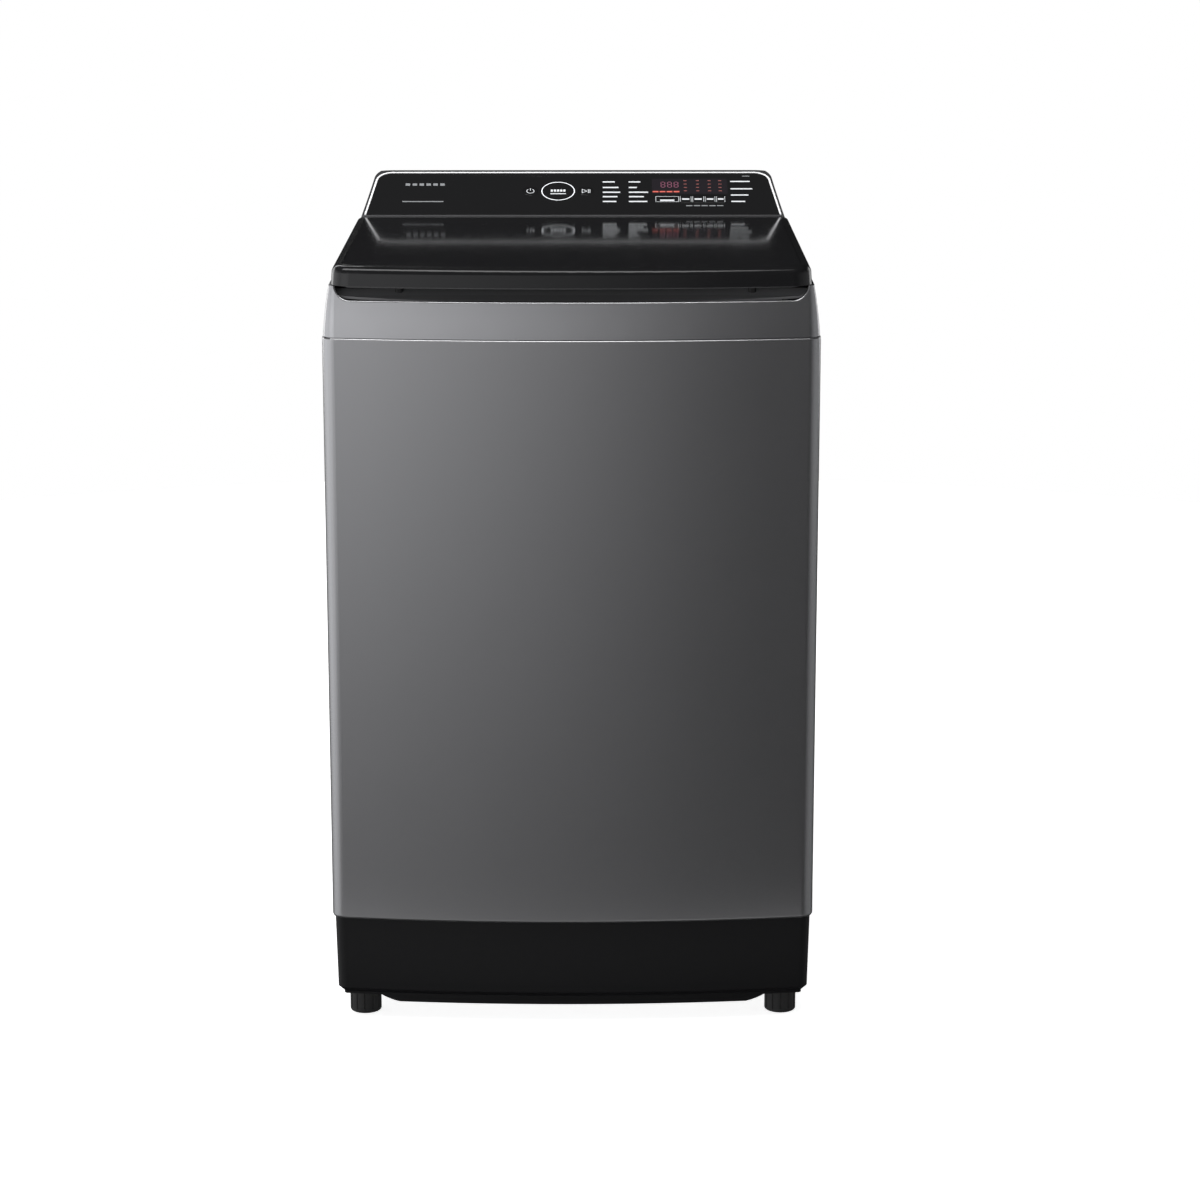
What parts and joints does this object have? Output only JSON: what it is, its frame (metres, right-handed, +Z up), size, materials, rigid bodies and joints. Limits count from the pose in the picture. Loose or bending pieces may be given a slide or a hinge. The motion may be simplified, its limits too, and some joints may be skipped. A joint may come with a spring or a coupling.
{
  "type": "top load washing machine",
  "caption": "Upright top load washing machine with a bowed front, tinted glass lid, sloped rear control panel, hung tub and a perforated spin basket.",
  "frame": {"origin": "On the floor at the middle of the object's box.", "axes": "+Z is up, -Y is the front where the user stands, +X is the user's right."},
  "size_m": [0.61, 0.673, 1.018],
  "materials": {
    "cabinet_paint": "satin grey metallic paint",
    "top_paint": "satin grey metallic paint on plastic",
    "base_plastic": "textured dark plastic",
    "black_gloss": "piano black",
    "deck_plastic": "black plastic",
    "lid_glass": "tinted tempered glass",
    "trim_chrome": "bright trim",
    "key_gloss": "gloss keys",
    "display_smoke": "smoked window",
    "zinc_steel": "zinc plated",
    "stainless": "stainless",
    "spring_steel": "spring steel",
    "white_plastic": "white plastic",
    "grey_plastic": "grey plastic",
    "blue_plastic": "blue plastic",
    "valve_plastic": "nylon",
    "rubber": "black rubber",
    "cast_aluminium": "as cast",
    "board_green": "circuit board",
    "copper_coil": "wound copper",
    "magnet_steel": "steel and magnets",
    "rear_zinc": "galvanised sheet"
  },
  "bodies": {
    "cabinet": {"cabinet_wrapper": "cabinet_paint", "rear_panel": "rear_zinc", "rear_panel_screws": "zinc_steel", "base": "base_plastic", "rear_feet": "rubber", "corner_brackets": "zinc_steel", "suspension_rods": "zinc_steel", "spring_seats": "grey_plastic", "suspension_springs": "spring_steel", "top_cover": "top_paint", "top_deck": "deck_plastic", "control_housing": "top_paint", "control_fascia": "black_gloss", "fascia_trim": "trim_chrome", "display_window": "display_smoke", "control_board": "board_green", "lid_lock": "white_plastic", "lid_bumpers": "rubber", "lid_hinge_pins": "zinc_steel", "dispenser_housing": "white_plastic", "inlet_valves": "valve_plastic", "water_level_sensor": "white_plastic", "drain_hose": "rubber", "drain_outlet": "grey_plastic", "cord_gland": "rubber", "inverter_module": "cast_aluminium"},
    "foot_left": {"foot_front_left": "rubber"},
    "foot_right": {"foot_front_right": "rubber"},
    "lid": {"lid_frame": "black_gloss", "lid_glass": "lid_glass", "lid_liner": "deck_plastic"},
    "drawer": {"detergent_drawer": "grey_plastic", "softener_insert": "blue_plastic"},
    "tub": {"outer_tub": "white_plastic", "tub_cover": "white_plastic", "tub_base_plate": "zinc_steel", "bearing_housing": "cast_aluminium", "shaft_bearings": "stainless", "shaft_seal": "rubber", "stator": "copper_coil", "clutch_actuator": "white_plastic", "drain_pump": "white_plastic"},
    "basket": {"basket": "stainless", "balance_ring": "grey_plastic", "basket_base": "cast_aluminium", "spin_shaft": "stainless", "lint_filters": "grey_plastic"},
    "wash_drive": {"pulsator": "grey_plastic", "pulsator_cap": "stainless", "wash_shaft": "stainless", "rotor": "magnet_steel"},
    "clutch": {"clutch_coupler": "grey_plastic"},
    "cycle": {"cycle_button": "key_gloss"},
    "power": {"power_button": "key_gloss"},
    "start": {"start_button": "key_gloss"},
    "bubble_key_cap": {"bubble_key": "key_gloss"},
    "temp_key_cap": {"temp_key": "key_gloss"},
    "rinse_key_cap": {"rinse_key": "key_gloss"},
    "spin_key_cap": {"spin_key": "key_gloss"},
    "level_key_cap": {"level_key": "key_gloss"}
  },
  "joints": [
    {"name": "lid_hinge", "type": "hinge", "parent": "cabinet", "child": "lid", "pos_m": [0, 0.172, 0.95], "axis": [-1, 0, 0], "range_deg": [0, 90]},
    {"name": "drawer_slide", "type": "slide", "parent": "cabinet", "child": "drawer", "axis": [0, -1, 0], "range_m": [0, 0.11]},
    {"name": "tub_bounce", "type": "slide", "parent": "cabinet", "child": "tub", "axis": [0, 0, 1], "range_m": [-0.015, 0.015], "stiffness_N_per_m": 12000, "springref_m": 0.02883, "deforming": ["suspension_springs", "drain_hose"]},
    {"name": "drum_spin", "type": "hinge", "parent": "tub", "child": "basket", "pos_m": [0, -0.014, 0.4], "axis": [0, 0, 1], "continuous": true},
    {"name": "wash_spin", "type": "hinge", "parent": "tub", "child": "wash_drive", "pos_m": [0, -0.014, 0.2], "axis": [0, 0, 1], "continuous": true},
    {"name": "clutch_shift", "type": "slide", "parent": "basket", "child": "clutch", "axis": [0, 0, 1], "range_m": [0, 0.006]},
    {"name": "foot_left_adjust", "type": "slide", "parent": "cabinet", "child": "foot_left", "axis": [0, 0, 1], "range_m": [-0.012, 0]},
    {"name": "foot_right_adjust", "type": "slide", "parent": "cabinet", "child": "foot_right", "axis": [0, 0, 1], "range_m": [-0.012, 0]},
    {"name": "cycle_press", "type": "slide", "parent": "cabinet", "child": "cycle", "axis": [0, 0.4431, -0.8965], "range_m": [0, 0.001], "stiffness_N_per_m": 500, "springref_m": -0.001},
    {"name": "power_press", "type": "slide", "parent": "cabinet", "child": "power", "axis": [0, 0.4431, -0.8965], "range_m": [0, 0.001], "stiffness_N_per_m": 500, "springref_m": -0.001},
    {"name": "start_press", "type": "slide", "parent": "cabinet", "child": "start", "axis": [0, 0.4431, -0.8965], "range_m": [0, 0.001], "stiffness_N_per_m": 500, "springref_m": -0.001},
    {"name": "bubble_key_press", "type": "slide", "parent": "cabinet", "child": "bubble_key_cap", "axis": [0, 0.4431, -0.8965], "range_m": [0, 0.001], "stiffness_N_per_m": 500, "springref_m": -0.001},
    {"name": "temp_key_press", "type": "slide", "parent": "cabinet", "child": "temp_key_cap", "axis": [0, 0.4431, -0.8965], "range_m": [0, 0.001], "stiffness_N_per_m": 500, "springref_m": -0.001},
    {"name": "rinse_key_press", "type": "slide", "parent": "cabinet", "child": "rinse_key_cap", "axis": [0, 0.4431, -0.8965], "range_m": [0, 0.001], "stiffness_N_per_m": 500, "springref_m": -0.001},
    {"name": "spin_key_press", "type": "slide", "parent": "cabinet", "child": "spin_key_cap", "axis": [0, 0.4431, -0.8965], "range_m": [0, 0.001], "stiffness_N_per_m": 500, "springref_m": -0.001},
    {"name": "level_key_press", "type": "slide", "parent": "cabinet", "child": "level_key_cap", "axis": [0, 0.4431, -0.8965], "range_m": [0, 0.001], "stiffness_N_per_m": 500, "springref_m": -0.001}
  ]
}
